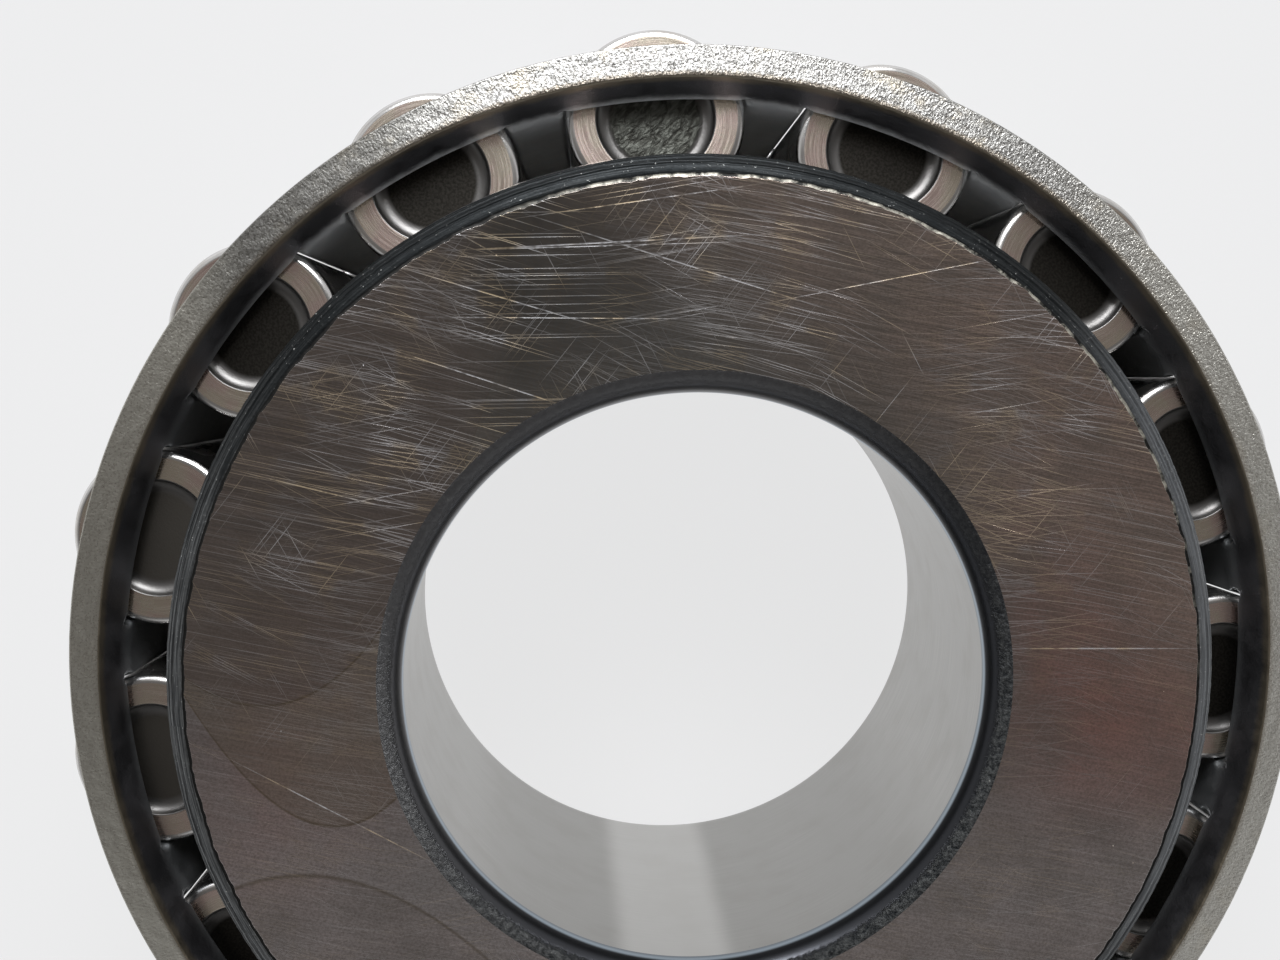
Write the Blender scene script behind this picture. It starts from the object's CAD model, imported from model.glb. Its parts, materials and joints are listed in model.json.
"""Looks for the inner ring assembly of a tapered roller bearing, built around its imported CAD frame.

Lengths in this script are millimetres, and MM turns them into the frame's metres. The bearing stands on
z = 0, its bore's axis is Z, and its large (back) face is on top. r is always a distance from that axis.
"""

import json
import math

import bmesh
import bpy
import numpy as np
from mathutils import Matrix, Vector, noise


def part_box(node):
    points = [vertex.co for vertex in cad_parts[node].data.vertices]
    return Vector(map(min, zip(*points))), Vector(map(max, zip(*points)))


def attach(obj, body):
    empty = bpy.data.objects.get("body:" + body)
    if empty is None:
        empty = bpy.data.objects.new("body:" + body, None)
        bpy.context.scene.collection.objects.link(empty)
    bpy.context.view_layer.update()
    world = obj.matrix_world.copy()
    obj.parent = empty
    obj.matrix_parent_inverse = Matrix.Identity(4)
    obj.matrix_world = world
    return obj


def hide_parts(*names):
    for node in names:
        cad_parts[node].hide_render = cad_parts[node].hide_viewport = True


MM = 0.001

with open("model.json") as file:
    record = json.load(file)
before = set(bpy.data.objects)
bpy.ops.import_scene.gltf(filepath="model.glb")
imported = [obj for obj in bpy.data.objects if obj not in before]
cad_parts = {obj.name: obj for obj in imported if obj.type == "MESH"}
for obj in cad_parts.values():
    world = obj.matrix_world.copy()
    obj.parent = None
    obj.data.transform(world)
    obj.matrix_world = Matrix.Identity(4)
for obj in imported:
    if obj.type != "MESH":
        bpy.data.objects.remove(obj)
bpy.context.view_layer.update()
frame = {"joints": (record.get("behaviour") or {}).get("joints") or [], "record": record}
record = frame["record"]
scene = bpy.context.scene

# ---- sizes, which repeat the part's own

ring_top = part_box("inner_ring")[1] / MM
ring_w, rib_r = ring_top.z, ring_top.x
bore_r = record["mounts"][0]["dims"]["r_mm"]
bore_corner_r, bore_corner_h = 1.1, 1.3
face_r = 21.95
rib_corner_h = 1.0
small_rib_r = 19.3
run_gap = 0.03

roller_joints = [joint for joint in frame["joints"] if joint["child"].startswith("roller_")]
roller_n = len(roller_joints)
roller_len = 13.2
roller_r = 3.905
roller_corner = 0.33
recess_r, recess_wall, recess_h = 2.575, 0.55, 0.42
first_axis = Vector(roller_joints[0]["axis"])
roller_angle = math.atan2(first_axis.y, first_axis.z)
roller_mid = Vector(roller_joints[0]["pos_m"]) / MM
end_r = roller_mid.y + roller_len / 2 * math.sin(roller_angle)
end_z = roller_mid.z + roller_len / 2 * math.cos(roller_angle)
roller_taper = math.asin(roller_r / (end_r / math.sin(roller_angle)))
small_r = roller_r - roller_len * math.tan(roller_taper)
race_angle = roller_angle - roller_taper
apex_z = end_z - end_r / math.tan(roller_angle)

sheet = 1.3
bar_height = 0.6
flare_angle = math.radians(33.5)
cage_top_r, cage_top_z = 26.11, 18.04
cut_angle = math.radians(14.6)
bend_r = 0.8
flange_r, flange_z = 19.9, 0.85
pocket_gap, pocket_end_gap = 0.18, 0.25
relief_r, relief_in = 0.4, 0.12

# ---- meshes

RING_SEGMENTS, ROLLER_SEGMENTS = 840, 96
JOIN_WITHIN, DROP_BELOW = 0.002 * MM, 0.001 * MM


def arc(centre, rx, ry, start, stop, steps):
    """Points on an ellipse about centre in the (r, z) plane, from one angle to another in degrees."""
    turns = [math.radians(start + (stop - start) * i / steps) for i in range(steps + 1)]
    return [(centre[0] + rx * math.cos(t), centre[1] + ry * math.sin(t)) for t in turns]


def ripple(turns, lowest, highest, seed):
    """A closed wave around the axis, about 1 high, made of every whole frequency in a band."""
    draw = np.random.default_rng(seed)
    waves = np.arange(lowest, highest + 1)
    phases = draw.uniform(0, 2 * math.pi, len(waves))
    heights = draw.normal(0, 1, len(waves)) / math.sqrt(len(waves))
    return (heights[:, None] * np.sin(waves[:, None] * turns[None, :] + phases[:, None])).sum(axis=0)


def make_mesh(name, points, faces, regions, materials):
    """A mesh from points in millimetres, with one material for each region number, rounded by its normals."""
    mesh = bpy.data.meshes.new(name)
    mesh.from_pydata((np.asarray(points) * MM).tolist(), [], faces)
    for material in materials:
        mesh.materials.append(material)
    mesh.polygons.foreach_set("material_index", regions)
    mesh.polygons.foreach_set("use_smooth", [True] * len(faces))
    mesh.update()
    piece = bpy.data.objects.new(name, mesh)
    scene.collection.objects.link(piece)
    return piece


def lathe_grid(profile, segments):
    """The r, z and turn of every point of a closed profile turned about the axis, one row for each turn."""
    outline = np.array([point[:2] for point in profile])
    turns = np.arange(segments) * 2 * math.pi / segments
    radius = np.tile(outline[:, 0], (segments, 1))
    height = np.tile(outline[:, 1], (segments, 1))
    return turns, radius, height


def lathe_faces(segments, count, closed):
    """Quads between the rows of a lathe grid. An open profile starts and ends on the axis."""
    columns = count if closed else count - 1
    faces = []
    for i in range(segments):
        here, there = i * count, (i + 1) % segments * count
        for j in range(columns):
            k = (j + 1) % count
            faces.append((here + j, there + j, there + k, here + k))
    return faces, columns


def rib_height(point, radius, gap):
    """Height of a rib's face at a radius, on the line square to the rollers through point."""
    return point[1] - (radius - point[0]) * math.tan(roller_angle) + gap / math.cos(roller_angle)


def race_radius(height):
    return (height - apex_z) * math.tan(race_angle) - run_gap / math.cos(race_angle)


GROUND_FACE, BURR, TURNED, BORE_CORNER, BORE_WALL, RACE = range(6)


def ring_profile():
    """The inner ring's outline from the bore up over the back face and down the outside: r, z, region."""
    relief_w, relief_h, front_corner, edge, end_play = 0.65, 0.25, 0.8, 0.15, -0.35
    sine, cosine = math.sin(roller_angle), math.cos(roller_angle)
    top_in = (end_r - roller_r * cosine, end_z + roller_r * sine)
    low_r, low_z = end_r - roller_len * sine, end_z - roller_len * cosine
    low_in = (low_r - small_r * cosine, low_z + small_r * sine)
    corner_r = bore_r + bore_corner_r
    outline = []

    def add(points, region):
        outline.extend((r, z, region) for r, z in points)

    add(arc((corner_r, bore_corner_h), bore_corner_r, bore_corner_h, 270, 180, 12), BORE_WALL)
    add([(bore_r, z) for z in (bore_corner_h + 0.2, ring_w / 2, ring_w - bore_corner_h - 0.15)], BORE_WALL)
    add(arc((corner_r, ring_w - bore_corner_h), bore_corner_r, bore_corner_h, 180, 96, 22), BORE_CORNER)
    add([(corner_r, ring_w), (corner_r + 0.12, ring_w), (corner_r + 0.25, ring_w)], GROUND_FACE)
    add([(corner_r + 0.25 + (face_r - corner_r - 0.45) * i / 8, ring_w) for i in range(1, 9)], GROUND_FACE)
    add([(face_r - 0.05, ring_w)], GROUND_FACE)
    add([(face_r + r, ring_w + z) for r, z in ((-0.03, -0.003), (-0.01, -0.02), (0.01, -0.05))], BURR)
    corner = arc((face_r, ring_w - rib_corner_h), rib_r - face_r, rib_corner_h, 86, 0, 40)
    add([(r + 0.035 * (1 - i / 40), z - 0.05 * (1 - i / 40)) for i, (r, z) in enumerate(corner)], TURNED)
    rib_low = rib_height(top_in, rib_r, run_gap)
    add([(rib_r, ring_w - rib_corner_h - 0.1), (rib_r, rib_low + edge + 0.1)], TURNED)
    add(arc((rib_r - edge, rib_low + edge), edge, edge, 0, -80, 4), TURNED)
    inner_end = top_in[0] + relief_w
    add([(r, rib_height(top_in, r, run_gap)) for r in (rib_r - edge - 0.1, inner_end + 0.1, inner_end)], RACE)
    add([(top_in[0] + relief_h, top_in[1] + relief_h), (top_in[0], top_in[1] + relief_h)], RACE)
    add([(top_in[0] - relief_h, top_in[1]), (race_radius(top_in[1] - relief_w) - relief_h,
                                             top_in[1] - relief_w + relief_h)], RACE)
    race_top, race_low = top_in[1] - relief_w, low_in[1] + relief_w
    add([(race_radius(z), z) for z in np.linspace(race_top, race_low, 6)], RACE)
    add([(race_radius(race_low) - relief_h, race_low - relief_h),
         (low_in[0] - relief_h, low_in[1] - relief_h), (low_in[0], low_in[1] - relief_w)], RACE)
    small_edge = small_rib_r - edge
    add([(low_in[0] + relief_h, rib_height(low_in, low_in[0] + relief_h, end_play)),
         (small_edge, rib_height(low_in, small_edge, end_play))], RACE)
    add([(small_rib_r, rib_height(low_in, small_rib_r, end_play) - edge),
         (small_rib_r, front_corner + 0.1)], RACE)
    add(arc((small_rib_r - front_corner, front_corner), front_corner, front_corner, 0, -90, 8), RACE)
    add([(small_rib_r - front_corner - 0.2, 0), (corner_r + 0.2, 0)], RACE)
    return outline


def make_inner_ring(materials):
    profile = ring_profile()
    turns, radius, height = lathe_grid(profile, RING_SEGMENTS)
    out_r, up_z, region = (profile_array(profile, index) for index in range(3))
    # the ground face ends in a slightly wavy, burred edge, and the turned corner has fine rings in it
    wave = 0.035 * ripple(turns, 2, 9, 11) + 0.03 * ripple(turns, 20, 90, 12)
    wave += 0.02 * ripple(turns, 100, 300, 13)
    near_edge = np.exp(-((out_r - face_r) / 0.12) ** 2) * (region != RACE)
    near_edge *= up_z > ring_w - 0.4
    radius += wave[:, None] * near_edge[None, :]
    corner = region == TURNED
    drop = (ring_w - up_z) / rib_corner_h
    rings = 0.02 * np.sin(2 * math.pi * 4.2 * drop + 0.6) + 0.012 * np.sin(2 * math.pi * 9.3 * drop)
    fade = np.clip(drop * 6, 0, 1) * np.clip((1.05 - drop) * 4, 0, 1)
    grain = 0.008 * ripple(turns, 60, 380, 14)
    height += (corner * fade * rings)[None, :]
    radius += (corner * fade)[None, :] * (0.6 * rings[None, :] + grain[:, None])
    # the corner of the bore is smooth inside and gritty towards the face, with a ragged edge
    lip = region == BORE_CORNER
    worn = 0.55 - 0.35 * np.sin(turns)
    outward = np.clip((out_r - bore_r - 0.45) / 0.5, 0, 1) * lip
    for order, (low, high, size) in enumerate(((150, 400, 0.03), (60, 200, 0.02))):
        for band in range(6):
            here = np.exp(-((out_r - bore_r - 0.5 - 0.11 * band) / 0.07) ** 2) * outward
            wave = size * worn * ripple(turns, low, high, 30 + 10 * order + band)
            height += wave[:, None] * here[None, :]
    height = np.minimum(height, ring_w)
    radius = np.minimum(radius, rib_r)
    points = np.stack([radius * np.cos(turns)[:, None], radius * np.sin(turns)[:, None], height], axis=2)
    faces, columns = lathe_faces(RING_SEGMENTS, len(profile), closed=True)
    regions = np.tile(region[:columns], RING_SEGMENTS)
    return make_mesh("inner_ring_steel", points.reshape(-1, 3), faces, regions, materials)


def profile_array(profile, index):
    return np.array([point[index] for point in profile])


ROLLER_BODY, ROLLER_LAND, ROLLER_RECESS = range(3)


def roller_profile():
    """A roller's outline about its own Z, from the centre of its small end to that of its recess."""
    small_corner = 0.35
    outline = [(r, 0.0, ROLLER_LAND) for r in (0.0, 0.5, small_r - small_corner - 0.1)]

    def add(points, region):
        outline.extend((r, z, region) for r, z in points)

    add(arc((small_r - small_corner, small_corner), small_corner, small_corner, 270, 360, 6), ROLLER_BODY)
    slope = math.tan(roller_taper)
    sides = (small_corner + 0.1, roller_len / 2, roller_len - roller_corner - 0.1)
    add([(small_r + slope * z, z) for z in sides], ROLLER_BODY)
    add(arc((roller_r - roller_corner, roller_len - roller_corner), roller_corner, roller_corner, 0, 80, 7),
        ROLLER_BODY)
    land = roller_r - roller_corner
    add([(land, roller_len), (land - 0.08, roller_len), (recess_r + 0.12, roller_len)], ROLLER_LAND)
    lip = 0.06
    add(arc((recess_r + lip, roller_len - lip), lip, lip, 90, 165, 4), ROLLER_RECESS)
    # the wall rounds over from the lip into the floor
    floor_z = roller_len - recess_h
    add(arc((recess_r - recess_wall, roller_len - lip), recess_wall - 0.01, recess_h - lip, -8, -90, 10),
        ROLLER_RECESS)
    add([(r, floor_z + 0.02 * (1 - r / 2.0)) for r in (1.9, 1.4, 0.8, 0.3)], ROLLER_RECESS)
    add([(0.0, floor_z + 0.02)], ROLLER_RECESS)
    return outline


def make_roller(joint, materials):
    """One roller where it runs. Its points keep their own place on the roller as an attribute, in mm."""
    profile = roller_profile()
    number = int(joint["child"][-2:])
    turns, radius, height = lathe_grid(profile, ROLLER_SEGMENTS)
    own = np.stack([radius * np.cos(turns)[:, None], radius * np.sin(turns)[:, None], height], axis=2)
    own = own.reshape(-1, 3)
    axis = Vector(joint["axis"]).normalized()
    base = Vector(joint["pos_m"]) / MM - axis * roller_len / 2
    around = Matrix.Rotation(number * 2.4, 4, "Z")
    place = Matrix.Translation(base) @ axis.to_track_quat("Z", "Y").to_matrix().to_4x4() @ around
    points = own @ np.array(place.to_3x3()).T + np.array(place.translation)
    faces, columns = lathe_faces(ROLLER_SEGMENTS, len(profile), closed=False)
    regions = np.tile(profile_array(profile, 2)[:columns], ROLLER_SEGMENTS)
    piece = make_mesh(joint["child"] + "_steel", points, faces, regions, materials)
    add_attribute(piece, "own_place", "FLOAT_VECTOR", "vector", own)
    add_attribute(piece, "own_number", "FLOAT", "value", np.full(len(own), float(number)))
    weld(piece)
    return piece


def add_attribute(piece, name, kind, field, values):
    attribute = piece.data.attributes.new(name, kind, "POINT")
    attribute.data.foreach_set(field, np.asarray(values, np.float32).ravel())


def weld(piece):
    """Joins points that lie on one another, where patches of a mesh meet or a profile meets its axis."""
    work = bmesh.new()
    work.from_mesh(piece.data)
    bmesh.ops.remove_doubles(work, verts=work.verts, dist=JOIN_WITHIN)
    bmesh.ops.dissolve_degenerate(work, edges=work.edges, dist=DROP_BELOW)
    bmesh.ops.recalc_face_normals(work, faces=work.faces)
    work.to_mesh(piece.data)
    work.free()
    piece.data.update()


# ---- the cage


def meet(p, a, q, b):
    """Where two lines in the (r, z) plane cross, each through a point at an angle from the z axis."""
    t = ((q[0] - p[0]) * math.cos(b) - (q[1] - p[1]) * math.sin(b)) / math.sin(a - b)
    return np.array([p[0] + t * math.sin(a), p[1] + t * math.cos(a)])


def aside(p, a, distance):
    """A point moved outwards, square to a line at angle a from the z axis."""
    return np.array([p[0] + distance * math.cos(a), p[1] - distance * math.sin(a)])


class Sheet:
    """The cage's bent sheet: its inner face as r and z by length s, and the way out of the sheet."""

    def __init__(self):
        bar, flare = roller_angle, flare_angle
        in_bar = aside((end_r, end_z), bar, bar_height)
        in_top = np.array([cage_top_r, cage_top_z])
        over = bend_r + sheet
        flare_centre = meet(aside(in_bar, bar, over), bar, aside(in_top, flare, over), flare)
        foot_centre = meet(aside(in_bar, bar, -bend_r), bar, (flange_r, flange_z + over), math.pi / 2)
        line = [((r, flange_z + sheet), (0.0, -1.0)) for r in np.linspace(flange_r, foot_centre[0], 24)]
        for turn in np.linspace(-math.pi / 2, -bar, 24)[1:]:
            out = np.array([math.cos(turn), math.sin(turn)])
            line.append((foot_centre + bend_r * out, out))
        bar_out = np.array([math.cos(bar), -math.sin(bar)])
        bar_start = len(line) - 1
        low, high = line[-1][0], flare_centre - over * bar_out
        for t in np.linspace(0, 1, 60)[1:]:
            line.append((low + (high - low) * t, bar_out))
        for turn in np.linspace(bar, flare, 16)[1:]:
            out = np.array([math.cos(turn), -math.sin(turn)])
            line.append((flare_centre - over * out, out))
        flare_out = np.array([math.cos(flare), -math.sin(flare)])
        start = line[-1][0]
        for t in np.linspace(0, 1, 40)[1:]:
            line.append((start + (in_top - start) * t, flare_out))
        self.place = np.array([np.asarray(point, float) for point, _ in line])
        self.out = np.array([np.asarray(out, float) for _, out in line])
        steps = np.linalg.norm(np.diff(self.place, axis=0), axis=1)
        self.length = np.concatenate([[0], np.cumsum(steps)])
        self.bar_low = self.length[bar_start]
        self.total = self.length[-1]

    def at(self, s, depth):
        """r and z at length s and a depth into the sheet, from 0 on its inner face to 1 on its outer one."""
        s = np.asarray(s, float)
        past = np.maximum(s - self.total, 0)
        r = np.interp(s, self.length, self.place[:, 0]) + past * math.sin(flare_angle)
        z = np.interp(s, self.length, self.place[:, 1]) + past * math.cos(flare_angle)
        r += depth * sheet * np.interp(s, self.length, self.out[:, 0])
        z += depth * sheet * np.interp(s, self.length, self.out[:, 1])
        return r, z

    def along_roller(self, s, turn, depth):
        """How far along its roller's axis a point lies, from the roller's small end."""
        r, z = self.at(s, depth)
        out = r * np.cos(turn) - end_r
        return out * math.sin(roller_angle) + (z - end_z) * math.cos(roller_angle) + roller_len

    def find(self, side, along, depth):
        """s and turn of the point at a distance to the side of the roller's axis and along that axis."""
        s = self.bar_low + np.asarray(along, float)
        turn = np.zeros_like(s)
        for _ in range(14):
            turn = np.arcsin(np.clip(side / self.at(s, depth)[0], -1, 1))
            s = s + (along - self.along_roller(s, turn, depth))
        return s, turn


def pocket_outline(depth):
    """The pocket's right half from the middle of its lower end to that of its upper end: side and along."""
    grow = pocket_gap / math.cos(roller_taper)
    over = pocket_end_gap
    middle = bar_height + sheet / 2
    height = bar_height + depth * sheet

    def half(along, at_height):
        grown = small_r + along * math.tan(roller_taper) + grow
        return math.sqrt(grown ** 2 - at_height ** 2)

    points = []
    for end in (0, 1):
        centre_along = roller_len + over - relief_r / 2 if end else relief_r / 2 - over
        centre_side = half(centre_along, middle) - relief_in
        way = 1 if end else -1
        join = math.degrees(math.acos(np.clip((half(centre_along, height) - centre_side) / relief_r, -1, 1)))
        # around the relief: from the pocket's side to its furthest corner, then on to the pocket's end
        turns = [*np.linspace(-join, 45, RELIEF_STEPS), *np.linspace(45, 150, RELIEF_STEPS)[1:]]
        relief = [(centre_side + relief_r * math.cos(math.radians(t)),
                   centre_along + way * relief_r * math.sin(math.radians(t))) for t in turns]
        steps = TOP_STEPS if end else LOW_STEPS
        edge_side, edge_along = relief[-1]
        edge = [(edge_side * (1 - i / steps), edge_along) for i in range(1, steps + 1)]
        points.append(relief + edge)
    low, high = points
    low_join, high_join = low[0], high[0]
    sides = []
    for i in range(1, SIDE_STEPS):
        t = 0.5 - 0.5 * math.cos(math.pi * i / SIDE_STEPS)
        along = low_join[1] + (high_join[1] - low_join[1]) * t
        sides.append((half(along, height), along))
    return np.array(low[::-1] + sides + high), len(low), len(high)


RELIEF_STEPS, TOP_STEPS, LOW_STEPS, SIDE_STEPS = 6, 24, 10, 26
CAGE_WALL, CAGE_EDGE = range(2)


def make_cage(materials):
    bent = Sheet()
    half_sector = math.pi / roller_n
    edge_round = 0.09
    upper_s = bent.bar_low + roller_len + 1.25
    lower_s = bent.bar_low
    points, faces, regions = [], [], []

    def add_grid(grid, region, closed=False):
        """Adds a grid of points, rows by columns, with quads between them."""
        rows, columns = grid.shape[:2]
        start = sum(len(block) for block in points)
        points.append(grid.reshape(-1, 3))
        for i in range(rows - 1):
            for j in range(columns if closed else columns - 1):
                k = (j + 1) % columns
                faces.append((start + i * columns + j, start + i * columns + k,
                              start + (i + 1) * columns + k, start + (i + 1) * columns + j))
                regions.append(region)

    def solid(s, turn, depth, centre):
        r, z = bent.at(s, depth)
        return np.stack([r * np.cos(centre + turn), r * np.sin(centre + turn), z + 0 * turn], axis=-1)

    def loop(depth):
        """The pocket's whole outline as s and turn, and where each point goes on the sector's border."""
        outline, low_count, high_count = pocket_outline(depth)
        s, turn = bent.find(outline[:, 0], outline[:, 1], depth)
        corner_low, corner_high = low_count - RELIEF_STEPS, len(s) - high_count + RELIEF_STEPS - 1
        border_s, border_turn = np.empty_like(s), np.empty_like(turn)
        border_s[:corner_low + 1] = lower_s
        border_turn[:corner_low + 1] = turn[:corner_low + 1] / turn[corner_low] * half_sector
        border_s[corner_high:] = upper_s
        border_turn[corner_high:] = turn[corner_high:] / turn[corner_high] * half_sector
        middle = slice(corner_low, corner_high + 1)
        share = (s[middle] - s[corner_low]) / (s[corner_high] - s[corner_low])
        border_s[middle] = lower_s + share * (upper_s - lower_s)
        border_turn[middle] = half_sector
        return (np.concatenate([s, s[-2:0:-1]]), np.concatenate([turn, -turn[-2:0:-1]]),
                np.concatenate([border_s, border_s[-2:0:-1]]),
                np.concatenate([border_turn, -border_turn[-2:0:-1]])), border_turn, corner_low, corner_high

    steps_out = np.array([1.0, 0.78, 0.56, 0.36, 0.2, 0.08])
    inner, border_turn, corner_low, corner_high = loop(0.0)
    outer = loop(1.0)[0]
    # both faces of the sheet end on the same border, so that the bands above and below meet them
    outer = (outer[0], outer[1], inner[2], inner[3])
    shares = np.array([edge_round / sheet, 0.25, 0.5, 0.75, 1 - edge_round / sheet])
    walls = [loop(share)[0][:2] for share in shares]
    top_turns = np.concatenate([border_turn[corner_high:], -border_turn[corner_high:-1][::-1]])[::-1]
    low_turns = np.concatenate([-border_turn[:corner_low + 1][::-1], border_turn[1:corner_low + 1]])
    centres = [math.pi / 2 + 2 * math.pi / roller_n * i for i in range(roller_n)]
    for centre in centres:
        rows = []
        for out in steps_out:
            rows.append(solid(inner[0] + (inner[2] - inner[0]) * out, inner[1] + (inner[3] - inner[1]) * out,
                              0.0, centre))
        for share, (s, turn) in zip(shares, walls):
            rows.append(solid(s, turn, share, centre))
        for out in steps_out[::-1]:
            rows.append(solid(outer[0] + (outer[2] - outer[0]) * out, outer[1] + (outer[3] - outer[1]) * out,
                              1.0, centre))
        add_grid(np.array(rows), CAGE_WALL, closed=True)

    def ring_of(turns):
        """Every sector's columns of one band, as one closed row of turns."""
        return np.concatenate([centre + turns[:-1] for centre in centres])

    # the flange: from the pockets' lower border round its free edge and back up the outside
    around = ring_of(low_turns)
    down = lower_s * np.array([1.0, 0.93, 0.86, 0.79, 0.72, 0.6, 0.4, 0.2])
    rows = [(s, 0.0) for s in down] + [(edge_round, 0.0), (0.02, 0.02), (0.0, edge_round / sheet)]
    rows += [(0.0, 1 - edge_round / sheet), (0.02, 0.98), (edge_round, 1.0)] + [(s, 1.0) for s in down[::-1]]
    add_grid(np.array([solid(s, around, depth, 0.0) for s, depth in rows]), CAGE_WALL, closed=True)

    # the upper band: up the inside, across the sheared edge and down the outside
    around = ring_of(top_turns)
    end = bent.total
    inside = np.linspace(upper_s, end - 0.16, 6)
    across = np.linspace(0.06, 0.94, 11)
    # the cut isn't square to the sheet, so its outer face ends further along than its inner one
    fall = sheet * math.tan(flare_angle - cut_angle)
    # length, depth and how rough each row is
    rows = [(s, 0.0, 0.0) for s in inside] + [(end - 0.05, 0.0, 0.25), (end - 0.012, 0.02, 0.7)]
    rows += [(end + fall * depth, depth, 1.0) for depth in across]
    rows += [(end + fall - 0.012, 0.985, 0.7), (end + fall - 0.06, 1.0, 0.25)]
    rows += [(s, 1.0, 0.0) for s in np.linspace(end + fall - 0.2, upper_s, 6)]
    edge_start = len(inside) + 2
    edge_stop = edge_start + len(across) + 2
    grid = np.array([solid(s, around, depth, 0.0) for s, depth, _ in rows])
    rough = np.array([[grain_at(point) for point in row] for row in grid])
    lift = np.array([math.sin(cut_angle), math.cos(cut_angle)])
    weights = np.array([weight for _, _, weight in rows])[:, None]
    down_by = -(0.015 + 0.03 * rough) * weights
    grid[..., 0] += down_by * lift[0] * np.cos(around)
    grid[..., 1] += down_by * lift[0] * np.sin(around)
    grid[..., 2] += down_by * lift[1]
    add_grid(grid[:edge_start], CAGE_WALL, closed=True)
    add_grid(grid[edge_start - 1:edge_stop], CAGE_EDGE, closed=True)
    add_grid(grid[edge_stop - 1:], CAGE_WALL, closed=True)
    piece = make_mesh("cage_steel", np.concatenate(points), faces, regions, materials)
    weld(piece)
    return piece


def grain_at(point):
    """A rough height from 0 to 1 for the sheared edge, from noise at two sizes."""
    where = Vector(point)
    return min(1.0, max(0.0, 0.5 + 0.45 * noise.noise(where * 2.1) + 0.35 * noise.noise(where * 4.7)))


# ---- materials


def put(tree, node_input, value):
    if isinstance(value, bpy.types.NodeSocket):
        tree.links.new(value, node_input)
    elif value is not None:
        node_input.default_value = value


def add_node(tree, kind, inputs=(), output=0, **settings):
    """Adds a node with its settings, and values or links on its inputs, and returns one of its outputs."""
    node = tree.nodes.new(kind)
    for key, value in settings.items():
        setattr(node, key, value)
    for key, value in dict(inputs).items():
        put(tree, node.inputs[key], value)
    return node.outputs[output]


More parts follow.
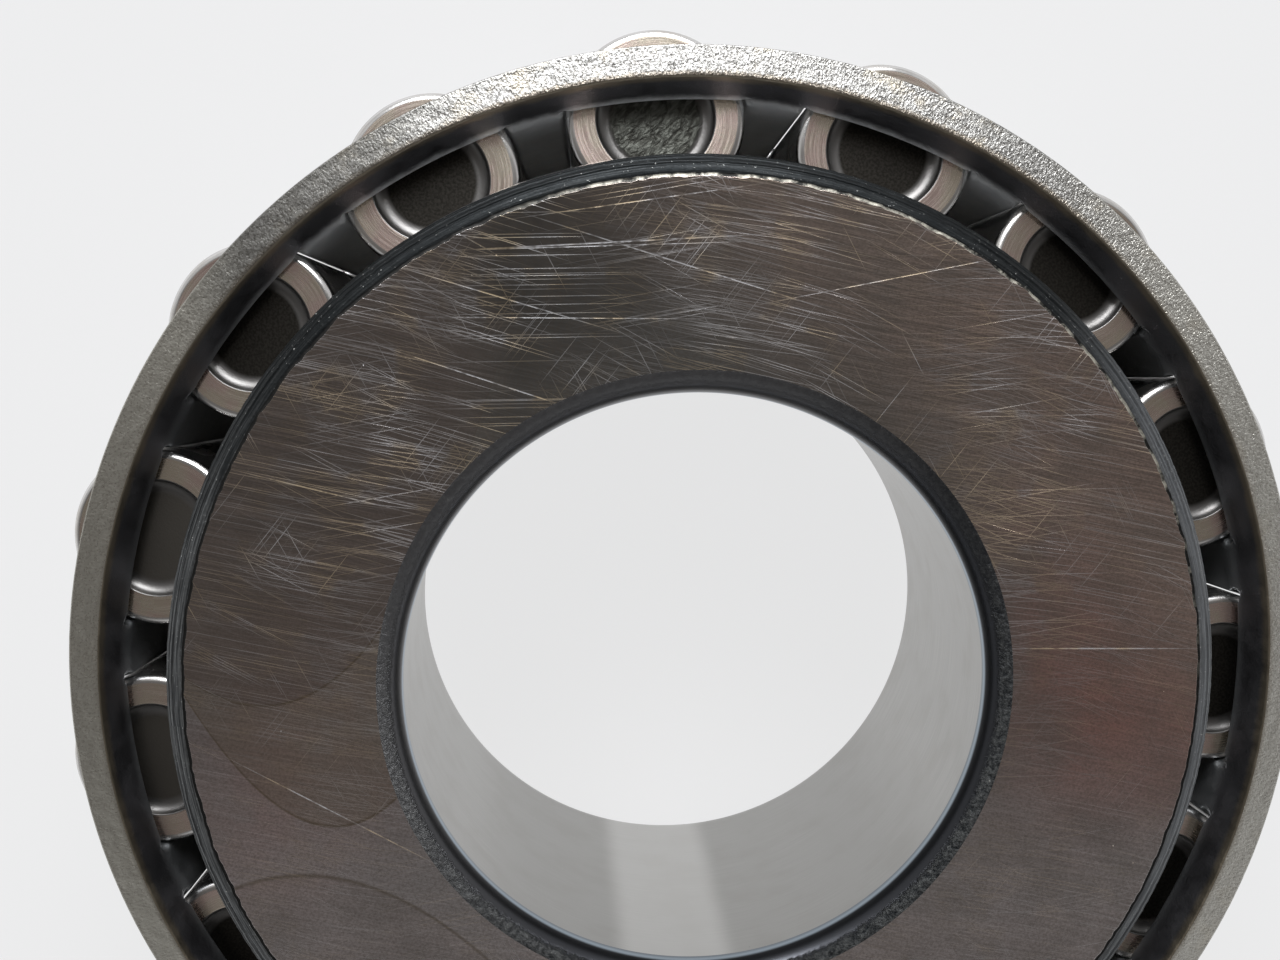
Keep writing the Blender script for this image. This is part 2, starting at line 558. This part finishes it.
class Shader:
    """One material's nodes. Each call adds a node and returns its output, for the next call to use."""

    def __init__(self, name, metallic=1.0):
        self.material = bpy.data.materials.new(name)
        self.material.use_nodes = True
        self.tree = self.material.node_tree
        self.surface = self.tree.nodes["Principled BSDF"]
        self.surface.inputs["Metallic"].default_value = metallic
        self.base = self.normal = None

    def wire(self, name, value):
        """Puts a value or a link on one of the surface's own inputs."""
        put(self.tree, self.surface.inputs[name], value)

    def add(self, kind, inputs=(), output=0, **settings):
        return add_node(self.tree, kind, inputs, output, **settings)

    def math(self, operation, a, b=None, c=None):
        return self.add("ShaderNodeMath", {0: a, 1: b, 2: c}, operation=operation)

    def times(self, a, b):
        return self.math("MULTIPLY", a, b)

    def times_plus(self, a, b, c):
        return self.math("MULTIPLY_ADD", a, b, c)

    def vector(self, operation, a, b=None, output=0):
        return self.add("ShaderNodeVectorMath", {0: a, 1: b}, output, operation=operation)

    def span(self, value, low, high, to_low=0.0, to_high=1.0, kind="SMOOTHSTEP"):
        """value moved from one range to another, and held at its ends."""
        return self.add("ShaderNodeMapRange", {0: value, 1: low, 2: high, 3: to_low, 4: to_high},
                        interpolation_type=kind)

    def noise(self, place, scale, detail=3.0, roughness=0.5, distortion=0.0):
        return self.add("ShaderNodeTexNoise", {"Vector": place, "Scale": scale, "Detail": detail,
                                               "Roughness": roughness, "Distortion": distortion})

    def colour(self, share, first, second):
        """A colour between two, by a share."""
        first, second = ((*each, 1) if isinstance(each, tuple) else each for each in (first, second))
        return self.add("ShaderNodeMix", {"Factor": share, "A": first, "B": second}, "Result",
                        data_type="RGBA")

    def over(self, share, tint):
        """Lays a tint over the base colour, by a share."""
        self.base = self.colour(share, self.base, tint)

    def between(self, share, first, second):
        """A number between two, by a share."""
        return self.add("ShaderNodeMix", {"Factor": share, "A": first, "B": second}, "Result")

    def place(self):
        """The point's place on its piece in millimetres."""
        coordinates = self.add("ShaderNodeTexCoord", output=3)
        return self.vector("MULTIPLY", coordinates, (1 / MM, 1 / MM, 1 / MM))

    def own_place(self):
        """The point's place on its own roller in millimetres."""
        return self.add("ShaderNodeAttribute", output=1, attribute_name="own_place")

    def number(self):
        return self.add("ShaderNodeAttribute", output=2, attribute_name="own_number")

    def parts(self, place):
        return tuple(self.add("ShaderNodeSeparateXYZ", {0: place}).node.outputs)

    def radius(self, place):
        return self.vector("LENGTH", self.vector("MULTIPLY", place, (1, 1, 0)), output=1)

    def polar(self, place, around, across, height=0.0):
        """A vector that runs around the axis, across it and up it, each at its own number of cells."""
        x, y, z = self.parts(place)
        turn = self.math("ARCTAN2", y, x)
        parts = {0: self.math("MULTIPLY", turn, around), 1: self.math("MULTIPLY", self.radius(place), across),
                 2: self.math("MULTIPLY", z, height)}
        return self.add("ShaderNodeCombineXYZ", parts)

    def turned(self, place, angle, scale):
        """place turned about Z by an angle in degrees and then scaled."""
        turned = self.add("ShaderNodeMapping", {"Vector": place, "Rotation": (0, 0, math.radians(-angle))})
        return self.vector("MULTIPLY", turned, scale)

    def laid(self, place, middle, angle, size):
        """place seen from a frame moved to middle, turned about Z by an angle and measured in size."""
        return self.add("ShaderNodeMapping", {"Vector": place, "Location": middle, "Scale": size,
                                              "Rotation": (0, 0, math.radians(angle))}, vector_type="TEXTURE")

    def cells(self, place):
        """Scattered dots in the plane: how far the nearest one is, and a number of its own."""
        distance = self.add("ShaderNodeTexVoronoi", {"Vector": place, "Scale": 1.0}, "Distance",
                            voronoi_dimensions="2D")
        return distance, self.parts(distance.node.outputs["Color"])[0]

    def bump(self, height, depth, strength=1.0):
        """Adds a height map to the surface's normal; depth is the height of 1, in millimetres."""
        self.normal = self.add("ShaderNodeBump", {"Strength": strength, "Distance": depth * MM,
                                                  "Height": height, "Normal": self.normal})
        return self.normal

    def finish(self, roughness, colour=None):
        self.wire("Base Color", self.base if colour is None else colour)
        self.wire("Roughness", roughness)
        self.wire("Normal", self.normal)
        return self.material


def scratch_layer(shader, place, angle, length, width, share, shift):
    """Hair-fine straight scratches at one angle: stretched dots in a share of the cells."""
    cells = shader.laid(place, (shift, 2.7 * shift, 0), angle, (1.7 * length, 3.3 * width, 1.0))
    distance, pick = shader.cells(cells)
    line = shader.span(distance, 0.30, 0.08)
    return shader.times(line, shader.span(pick, 1.0 - share, 1.0, 0.0, 1.0, "LINEAR"))


def one_scratch(shader, place, x, y, angle, length, width):
    """A single long scratch about (x, y) that thins out towards both ends."""
    spot = shader.laid(place, (x, y, ring_w), angle, (length / 2, width, 1.0))
    return shader.span(shader.vector("LENGTH", spot, output=1), 1.0, 0.25)


# long scratches on the back face: x, y, angle, length, half width
LONG_SCRATCHES = (
    (-2.0, 19.35, -0.8, 20.0, 0.048),
    (-2.5, 19.22, -2.1, 18.5, 0.036),
    (0.8, 18.15, -21.2, 19.0, 0.042),
    (-7.8, 13.85, -22.2, 16.0, 0.038),
    (-7.1, 17.35, -20.5, 14.0, 0.038),
    (-4.7, 16.35, -4.3, 18.0, 0.030),
    (-0.9, 21.00, 4.2, 14.0, 0.034),
    (9.7, 17.10, 7.1, 18.0, 0.030),
    (17.6, 0.40, -4.4, 12.4, 0.042),
    (-15.0, 9.65, -18.1, 11.0, 0.042),
    (-16.0, -4.30, -32.8, 14.0, 0.038),
)

# layers of fine scratches on the back face: angle, length, half width and share of cells
FINE_SCRATCHES = (
    (-11, 8, 0.023, 0.50), (-16, 10, 0.024, 0.55), (-21, 7, 0.022, 0.55), (-3, 12, 0.024, 0.30),
    (6, 8, 0.023, 0.25), (-33, 5, 0.022, 0.25), (48, 4, 0.022, 0.12), (-66, 3, 0.022, 0.10),
)


def film_edge(shader, x, y, at_x, at_y, bend, width):
    """The dried edge of an oil film, bowed along X: how far past it a point is, and the line itself."""
    from_middle = shader.math("SUBTRACT", x, at_x)
    bow = shader.times_plus(shader.times(from_middle, from_middle), bend, at_y)
    past = shader.math("SUBTRACT", y, bow)
    line = shader.span(shader.math("ABSOLUTE", shader.math("SUBTRACT", past, width)), 1.6 * width, 0.0)
    return shader.span(past, -0.05, 0.10), line


def ground_face_steel():
    """The back face: ground, scratched all over in nearly parallel strokes, stained by old oil."""
    shader = Shader("ground_face")
    place = shader.place()
    x, y, _ = shader.parts(place)
    stain = shader.noise(place, 0.16, roughness=0.55)
    cloud = shader.noise(shader.vector("ADD", place, (31, 7, 0)), 0.45, detail=4.0, roughness=0.6)
    mottle = shader.noise(place, 9.0, roughness=0.75)
    # neutral towards +Y, copper red towards both sides, paler and bluish towards -Y
    side = shader.span(shader.times_plus(stain, 6.0, shader.math("ABSOLUTE", x)), 12.0, 21.5)
    low = shader.span(shader.times_plus(stain, 4.0, y), 0.0, -8.0)
    shader.base = shader.colour(side, (0.43, 0.435, 0.43), (0.87, 0.50, 0.45))
    shader.over(low, (0.98, 0.90, 0.91))
    upper_left = shader.span(shader.math("SUBTRACT", y, x), 12.0, 27.0)
    shader.over(shader.times(upper_left, 0.95), (0.15, 0.147, 0.140))
    upper_right = shader.span(shader.math("ADD", y, x), 14.0, 25.0)
    shader.over(shader.times(upper_right, 0.85), (0.92, 0.74, 0.66))
    shader.over(shader.span(cloud, 0.3, 0.75, 0.0, 0.50), (0.33, 0.31, 0.29))
    # three films of oil on the -X side, olive inside, each with a darker dried edge
    reach = shader.span(shader.times_plus(stain, 3.0, x), -5.0, -9.5)
    for at_x, at_y, bend, width, tint in ((-18.2, -7.1, -0.066, 0.10, (0.98, 0.96, 1.0)),
                                          (-15.8, -5.0, 0.17, 0.07, (0.46, 0.36, 0.24)),
                                          (-18.3, 0.6, 0.12, 0.06, (0.34, 0.26, 0.26))):
        inside, line = film_edge(shader, x, y, at_x, at_y, bend, width)
        shader.over(shader.times(shader.times(inside, reach), 0.42), tint)
        shader.over(shader.times(shader.times(line, reach), 0.55), (0.24, 0.17, 0.07))
    # the grinding lay and its fine cross strokes
    lay = shader.noise(shader.turned(place, -14, (0.08, 12.0, 0.0)), 1.0, roughness=0.7)
    fine = shader.noise(shader.turned(place, -20, (0.22, 30.0, 0.0)), 1.0, detail=2.0, roughness=0.7)
    strokes = shader.times_plus(lay, 0.5, shader.times(fine, 0.5))
    depth = shader.span(y, -2.0, 11.0, 0.28, 0.58)
    shader.over(shader.times(shader.span(strokes, 0.38, 0.60), depth), (0.17, 0.165, 0.16))
    shader.over(shader.span(mottle, 0.38, 0.68, 0.0, 0.42), (0.25, 0.21, 0.17))
    light = None
    for number, (angle, length, width, share) in enumerate(FINE_SCRATCHES):
        layer = scratch_layer(shader, place, angle, length, width, share, 5.3 * number + 1.7)
        light = layer if light is None else shader.math("MAXIMUM", light, layer)
    patchy = shader.span(shader.noise(place, 0.35), 0.30, 0.60, 0.55, 1.0)
    light = shader.times(shader.times(light, patchy), shader.span(y, -4.0, 9.0, 0.28, 0.72))
    long = None
    for entry in LONG_SCRATCHES:
        layer = one_scratch(shader, place, *entry)
        long = layer if long is None else shader.math("MAXIMUM", long, layer)
    broken = shader.span(shader.noise(place, 2.2, detail=2.0), 0.3, 0.55, 0.35, 0.9)
    long = shader.times(long, broken)
    # a few specks where grit has dented the face
    specks = shader.span(shader.noise(place, 3.1, detail=2.0, roughness=0.6), 0.765, 0.80)
    marks = shader.math("MAXIMUM", light, shader.math("MAXIMUM", long, specks))
    golden = shader.span(shader.noise(place, 0.55, detail=2.0), 0.45, 0.6)
    shader.over(marks, shader.colour(golden, (0.93, 0.94, 0.98), (1.0, 0.82, 0.56)))
    shader.bump(strokes, 0.002, 0.5)
    shader.bump(marks, -0.008, 0.7)
    roughness = shader.times_plus(marks, 0.25, shader.span(cloud, 0.25, 0.8, 0.20, 0.27))
    return shader.finish(roughness)


def burr_steel():
    """The bright, ragged line where the ground face breaks into the turned corner."""
    shader = Shader("burr")
    place = shader.place()
    x, y, _ = shader.parts(place)
    torn = shader.noise(place, 1.1, detail=4.0, roughness=0.7)
    corner = shader.span(shader.times_plus(x, 0.8, y), 14.0, 24.0)
    bright = shader.times(corner, shader.span(torn, 0.42, 0.62))
    shader.base = shader.colour(bright, (0.030, 0.030, 0.029), (0.55, 0.53, 0.46))
    shader.bump(torn, 0.04, 0.8)
    return shader.finish(0.48)


def turned_steel():
    """The large rib's corner and rim: dark blue-grey from hardening, with turned rings and bright specks."""
    shader = Shader("turned_corner")
    place = shader.place()
    rings = shader.noise(shader.polar(place, 9.0, 13.0, 13.0), 1.0, detail=4.0, roughness=0.65)
    grit = shader.noise(place, 7.0, roughness=0.65)
    x, y, height = shader.parts(place)
    shader.base = shader.colour(shader.span(rings, 0.35, 0.7), (0.050, 0.053, 0.056), (0.24, 0.25, 0.255))
    # darkest towards +Y
    shader.over(shader.span(y, 4.0, 17.0, 0.0, 0.90), (0.014, 0.016, 0.017))
    shader.over(shader.span(x, 16.0, 21.0, 0.0, 0.30), (0.40, 0.42, 0.45))
    # the rim below the corner is plainer and paler
    rim = shader.span(height, ring_w - rib_corner_h - 0.1, ring_w - rib_corner_h - 0.5)
    shader.over(rim, (0.24, 0.24, 0.245))
    specks = shader.times(shader.span(grit, 0.64, 0.72), shader.span(rings, 0.45, 0.6))
    shader.over(specks, (0.75, 0.76, 0.74))
    shader.bump(rings, 0.02, 0.9)
    shader.bump(grit, 0.015, 0.8)
    return shader.finish(shader.span(grit, 0.3, 0.7, 0.40, 0.55))


def bore_corner_steel():
    """The bore's corner: a dark smooth radius inside, a gritty band with a ragged edge outside."""
    shader = Shader("bore_corner")
    place = shader.place()
    radius = shader.radius(place)
    grit = shader.noise(place, 4.5, detail=5.0, roughness=0.75)
    x, y, _ = shader.parts(place)
    rough_band = shader.span(shader.times_plus(grit, 0.35, radius), bore_r + 0.62, bore_r + 0.86)
    rough_band = shader.times(rough_band, shader.span(y, 9.0, -6.0, 0.35, 1.0))
    shader.base = shader.colour(shader.span(grit, 0.35, 0.65), (0.022, 0.024, 0.026), (0.11, 0.114, 0.114))
    shader.base = shader.colour(rough_band, (0.05, 0.052, 0.058), shader.base)
    lean = shader.math("SUBTRACT", y, x)
    shader.over(shader.span(lean, -8.0, 14.0, 0.0, 0.15), (0.60, 0.59, 0.60))
    line = shader.span(shader.math("ABSOLUTE", shader.math("SUBTRACT", radius, bore_r + 0.03)), 0.05, 0.0)
    shader.over(line, (0.34, 0.40, 0.46))
    specks = shader.times(shader.span(grit, 0.66, 0.74), rough_band)
    shader.over(specks, (0.62, 0.62, 0.58))
    shader.bump(shader.times(grit, rough_band), 0.12, 0.9)
    return shader.finish(shader.between(rough_band, 0.30, 0.52))


def bore_wall_steel():
    """The bore: pale ground steel with fine lines around it and a few dark specks."""
    shader = Shader("bore_wall")
    place = shader.place()
    lines = shader.noise(shader.polar(place, 3.0, 0.0, 16.0), 1.0, roughness=0.7)
    cloud = shader.noise(place, 0.5)
    shader.base = shader.colour(shader.span(lines, 0.3, 0.7), (0.40, 0.395, 0.385), (0.52, 0.515, 0.50))
    shader.over(shader.span(cloud, 0.4, 0.75, 0.0, 0.35), (0.36, 0.345, 0.32))
    # wiped cleaner in one strip down the wall, towards -Y
    x, y, _ = shader.parts(place)
    strip = shader.span(shader.math("ABSOLUTE", shader.math("ADD", x, 1.6)), 3.0, 1.7)
    low = shader.span(y, -6.0, -10.5)
    shader.over(shader.times(low, shader.span(strip, 0.0, 1.0, 0.4, 0.0)), (0.28, 0.275, 0.265))
    shader.over(shader.times(low, shader.times(strip, 0.5)), (0.66, 0.655, 0.64))
    specks = shader.span(shader.noise(place, 2.6, roughness=0.7), 0.755, 0.79)
    shader.over(specks, (0.08, 0.07, 0.06))
    shader.bump(lines, 0.006, 0.5)
    # the lines around the bore spread every reflection along it
    shader.surface.inputs["Anisotropic"].default_value = 0.85
    tangent = shader.add("ShaderNodeTangent", direction_type="RADIAL", axis="Z")
    shader.wire("Tangent", tangent)
    return shader.finish(shader.span(lines, 0.3, 0.7, 0.42, 0.52))


def race_steel():
    """The raceway, the ribs' inner faces and the front face: ground steel under a film of oil."""
    shader = Shader("race")
    place = shader.place()
    lines = shader.noise(shader.polar(place, 4.0, 9.0, 9.0), 1.0, roughness=0.65)
    cloud = shader.noise(place, 0.6)
    shader.base = shader.colour(shader.span(lines, 0.3, 0.7), (0.46, 0.44, 0.42), (0.62, 0.60, 0.57))
    shader.over(shader.span(cloud, 0.4, 0.7, 0.0, 0.5), (0.36, 0.32, 0.27))
    shader.bump(lines, 0.008, 0.5)
    return shader.finish(shader.span(cloud, 0.3, 0.7, 0.22, 0.34))


def cage_wall_steel():
    """The pressed sheet: satin grey outside, dark with oil inside, and worn brown near its upper edge."""
    shader = Shader("cage_wall")
    place = shader.place()
    radius = shader.radius(place)
    x, y, height = shader.parts(place)
    cloud = shader.noise(place, 0.9, detail=4.0, roughness=0.6)
    grain = shader.noise(place, 9.0, roughness=0.6)
    shader.base = shader.colour(shader.span(cloud, 0.3, 0.7), (0.44, 0.44, 0.44), (0.60, 0.60, 0.59))
    # the inner face: nearer the axis than the middle of the sheet at that height
    bar_line = shader.times_plus(height, math.tan(roller_angle),
                           end_r - end_z * math.tan(roller_angle) + 1.25)
    flare_line = shader.times_plus(height, math.tan(flare_angle),
                             cage_top_r - cage_top_z * math.tan(flare_angle) + 0.62)
    inner_line = shader.math("MAXIMUM", bar_line, flare_line)
    inside = shader.span(shader.math("SUBTRACT", inner_line, radius), -0.1, 0.25)
    oily = shader.colour(shader.span(cloud, 0.35, 0.7), (0.86, 0.90, 0.92), (0.96, 0.98, 0.99))
    # darker towards both sides
    sides = shader.span(shader.math("ABSOLUTE", x), 12.0, 21.0, 0.0, 0.85)
    oily = shader.colour(sides, oily, (0.10, 0.105, 0.11))
    # the flare above the bars is black with old oil
    above = shader.span(shader.times_plus(cloud, 0.5, height), end_z + 0.35, end_z + 0.85)
    oily = shader.colour(above, oily, (0.17, 0.17, 0.18))
    shader.over(inside, oily)
    high = shader.span(shader.times_plus(cloud, 0.3, height), cage_top_z - 0.32, cage_top_z - 0.02)
    shader.over(shader.times(high, 0.8), (0.34, 0.29, 0.21))
    shader.bump(grain, 0.02, 0.6)
    shader.bump(cloud, 0.06, 0.5)
    on_bars = shader.times(inside, shader.math("SUBTRACT", 1.0, above))
    dusty = shader.times(on_bars, shader.span(y, 12.0, 20.0))
    shader.wire("Metallic", shader.times_plus(dusty, -0.5, 1.0))
    roughness = shader.times_plus(on_bars, 0.18, shader.span(cloud, 0.3, 0.7, 0.30, 0.45))
    return shader.finish(roughness)


def cage_edge_steel():
    """The sheared upper edge: coarse torn grains that sparkle, with brown stains between them."""
    shader = Shader("cage_edge")
    place = shader.place()
    radius = shader.radius(place)
    # grains a little longer across the edge than around it
    grains = shader.noise(shader.polar(place, 250.0, 5.0, 5.0), 1.0, roughness=0.62)
    small = shader.noise(place, 11.0, detail=2.0, roughness=0.6)
    height = shader.times_plus(grains, 0.7, shader.times(small, 0.3))
    stain = shader.noise(place, 0.55, detail=4.0, roughness=0.65)
    shader.base = shader.colour(shader.span(height, 0.36, 0.62), (0.22, 0.213, 0.20), (0.52, 0.515, 0.50))
    shader.over(shader.span(stain, 0.52, 0.72, 0.0, 0.4), (0.52, 0.44, 0.30))
    # a duller, browner line along the inner side
    inner = shader.span(shader.times_plus(small, 0.25, radius), cage_top_r + 0.42, cage_top_r + 0.18)
    shader.over(shader.times(inner, 0.7), (0.30, 0.25, 0.19))
    # sheared more smoothly, and duller, on the -X side
    x, _, _ = shader.parts(place)
    dull = shader.span(x, -6.0, -13.0)
    shader.over(shader.span(x, 16.0, 23.0, 0.0, 0.6), (0.85, 0.83, 0.76))
    shader.over(shader.times(dull, 0.6), (0.17, 0.165, 0.15))
    shader.over(shader.span(x, -17.5, -21.5, 0.0, 0.72), (0.68, 0.66, 0.59))
    rough = shader.times(height, shader.times_plus(dull, -0.6, 1.0))
    shader.bump(rough, 0.055, 1.0)
    return shader.finish(shader.span(small, 0.3, 0.7, 0.26, 0.36))


def roller_body_steel():
    shader = Shader("roller_body")
    place = shader.own_place()
    lines = shader.noise(shader.polar(place, 1.5, 0.0, 12.0), 1.0, roughness=0.7)
    cloud = shader.noise(shader.vector("ADD", place, shader.number()), 0.5)
    shader.base = shader.colour(shader.span(lines, 0.3, 0.7), (0.60, 0.59, 0.58), (0.76, 0.75, 0.74))
    shader.over(shader.span(cloud, 0.45, 0.7, 0.0, 0.5), (0.50, 0.46, 0.41))
    shader.bump(lines, 0.005, 0.5)
    return shader.finish(shader.span(cloud, 0.3, 0.7, 0.16, 0.30))


def roller_land_steel():
    """The flat land around a roller's recess: ground in circles, tinted brown by oil and heat."""
    shader = Shader("roller_land")
    place = shader.own_place()
    lines = shader.noise(shader.polar(place, 1.2, 16.0), 1.0, roughness=0.7)
    cloud = shader.noise(shader.vector("ADD", place, shader.number()), 0.7)
    tint = shader.colour(shader.span(cloud, 0.35, 0.65), (0.76, 0.68, 0.56), (0.80, 0.62, 0.57))
    shader.base = shader.colour(shader.span(lines, 0.3, 0.75, 0.0, 0.4), tint, (0.80, 0.74, 0.66))
    shader.bump(lines, 0.004, 0.6)
    return shader.finish(shader.span(lines, 0.3, 0.7, 0.20, 0.30))


def roller_recess_steel():
    """The recess: forged and oily, with a crinkled floor on some rollers."""
    shader = Shader("roller_recess")
    place = shader.own_place()
    number = shader.number()
    apart = shader.vector("ADD", place, number)
    crinkle = shader.noise(shader.vector("MULTIPLY", apart, (1.0, 0.45, 1.0)), 4.2, roughness=0.6,
                           distortion=0.6)
    fine = shader.noise(apart, 9.0, detail=2.0)
    # roller 1 has a coarse and paler floor
    coarse = shader.span(number, 1.6, 1.4)
    floor = shader.span(shader.radius(place), recess_r - recess_wall + 0.1, recess_r - recess_wall - 0.15)
    smooth_floor = shader.colour(shader.span(fine, 0.35, 0.65), (0.026, 0.024, 0.021), (0.042, 0.039, 0.034))
    coarse_floor = shader.colour(shader.span(crinkle, 0.35, 0.65), (0.05, 0.05, 0.044), (0.13, 0.135, 0.12))
    # and two others are drier
    dry = shader.span(shader.math("ABSOLUTE", shader.math("SUBTRACT", number, 4.5)), 1.3, 0.6)
    smooth_floor = shader.colour(shader.times(dry, 0.8), smooth_floor, (0.15, 0.14, 0.125))
    shader.base = shader.colour(floor, (0.20, 0.195, 0.19), shader.colour(coarse, smooth_floor, coarse_floor))
    shader.bump(shader.times(crinkle, shader.times(coarse, floor)), 0.10, 0.9)
    shader.bump(fine, 0.012, 0.5)
    return shader.finish(shader.between(floor, 0.40, 0.45))


# ---- the pieces, each in place of its CAD node

inner_ring = make_inner_ring([ground_face_steel(), burr_steel(), turned_steel(), bore_corner_steel(),
                              bore_wall_steel(), race_steel()])
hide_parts("inner_ring")
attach(inner_ring, "inner_ring")

cage = make_cage([cage_wall_steel(), cage_edge_steel()])
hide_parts("cage")
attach(cage, "cage")

roller_materials = [roller_body_steel(), roller_land_steel(), roller_recess_steel()]
for roller_joint in roller_joints:
    roller = make_roller(roller_joint, roller_materials)
    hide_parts(roller_joint["child"])
    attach(roller, roller_joint["child"])

# ---- floor, light and camera


# the dark card overhead, as tangents of half its angles, and what it and the room around it reflect
CARD_ACROSS, CARD_ALONG, CARD_SHIFT = 0.56, 0.31, (0.0, 0.113, 0.0)
CARD_COLOUR = (0.268, 0.252, 0.240, 1)
CARD_FADE = (0.8, 1.4)
ROOM_FAR, ROOM_NEAR = 0.43, 0.66
FLOOR_HALF, FLOOR_GLOW = 1.5, 0.765


def make_floor():
    mesh = bpy.data.meshes.new("floor")
    corners = [(x * FLOOR_HALF, y * FLOOR_HALF, 0) for x, y in ((-1, -1), (1, -1), (1, 1), (-1, 1))]
    mesh.from_pydata(corners, [], [(0, 1, 2, 3)])
    floor = bpy.data.objects.new("floor", mesh)
    scene.collection.objects.link(floor)
    shader = Shader("floor_card", metallic=0.0)
    cloud = shader.noise(shader.place(), 0.004, detail=2.0)
    # a light table: it glows evenly, so that the bore and the gaps between rollers show it bright
    pale = shader.colour(cloud, (0.97, 0.975, 0.985), (1.0, 1.0, 1.0))
    shader.wire("Emission Color", pale)
    shader.wire("Emission Strength", FLOOR_GLOW)
    mesh.materials.append(shader.finish(0.8, (0.08, 0.08, 0.082, 1)))


def make_area_light(name, at, size, power, colour):
    data = bpy.data.lights.new(name, "AREA")
    data.shape, data.size, data.energy, data.color = "DISK", size, power, colour
    lamp = bpy.data.objects.new(name, data)
    lamp.location = at
    lamp.rotation_euler = (-Vector(at)).to_track_quat("-Z", "Y").to_euler()
    scene.collection.objects.link(lamp)


def make_world():
    """A soft white room with one large dark card overhead, wider across than along the camera's up."""
    world = bpy.data.worlds.new("room")
    world.use_nodes = True
    scene.world = world
    tree = world.node_tree

    def add(kind, values, output=0, **settings):
        return add_node(tree, kind, values, output, **settings)

    way = add("ShaderNodeTexCoord", {})
    height = add("ShaderNodeVectorMath", {0: way, 1: (0, 0, 1)}, 1, operation="DOT_PRODUCT")
    flat = add("ShaderNodeMath", {0: height, 1: 1.001}, operation="ADD")
    across = add("ShaderNodeVectorMath", {0: way, 1: (1 / CARD_ACROSS, 1 / CARD_ALONG, 0)},
                 operation="MULTIPLY")
    spread = add("ShaderNodeCombineXYZ", {0: flat, 1: flat, 2: 1.0})
    across = add("ShaderNodeVectorMath", {0: across, 1: spread}, operation="DIVIDE")
    across = add("ShaderNodeVectorMath", {0: across, 1: CARD_SHIFT}, operation="ADD")
    reach = add("ShaderNodeVectorMath", {0: across}, 1, operation="LENGTH")
    share = add("ShaderNodeMapRange", {0: reach, 1: CARD_FADE[0], 2: CARD_FADE[1]},
                interpolation_type="SMOOTHSTEP")
    colour = add("ShaderNodeMix", {"Factor": share, "A": CARD_COLOUR, "B": (1, 1, 1, 1)}, "Result",
                 data_type="RGBA")
    put(tree, tree.nodes["Background"].inputs["Color"], colour)
    window_side = add("ShaderNodeVectorMath", {0: way, 1: (0.0, 1.0, 0.0)}, 1, operation="DOT_PRODUCT")
    level = add("ShaderNodeMapRange", {0: window_side, 1: -0.7, 2: 0.7, 3: ROOM_FAR, 4: ROOM_NEAR})
    put(tree, tree.nodes["Background"].inputs["Strength"], level)


def make_camera():
    """The camera close above the bearing, looking almost straight down past its front edge."""
    at = Vector((-5.470, 23.016, 106.325)) * MM
    looks_at = Vector((-1.880, 9.258, ring_w)) * MM
    lens, turned, rolled = 57.56, math.radians(-3.24), math.radians(0.45)
    data = bpy.data.cameras.new("camera")
    data.sensor_width, data.lens, data.clip_start = 36.0, lens, 0.005
    camera = bpy.data.objects.new("camera", data)
    scene.collection.objects.link(camera)
    forward = (looks_at - at).normalized()
    up_hint = Vector((-math.sin(turned), math.cos(turned), 0))
    right = forward.cross(up_hint).normalized()
    right = Matrix.Rotation(rolled, 3, forward) @ right
    up = right.cross(forward)
    camera.matrix_world = Matrix.Translation(at) @ Matrix((right, up, -forward)).transposed().to_4x4()
    scene.camera = camera


make_floor()
make_world()
make_area_light("window", (0.0, 0.52, 0.38), 0.40, 4.5, (0.97, 0.98, 1.0))
make_camera()
scene.view_settings.view_transform = "Standard"
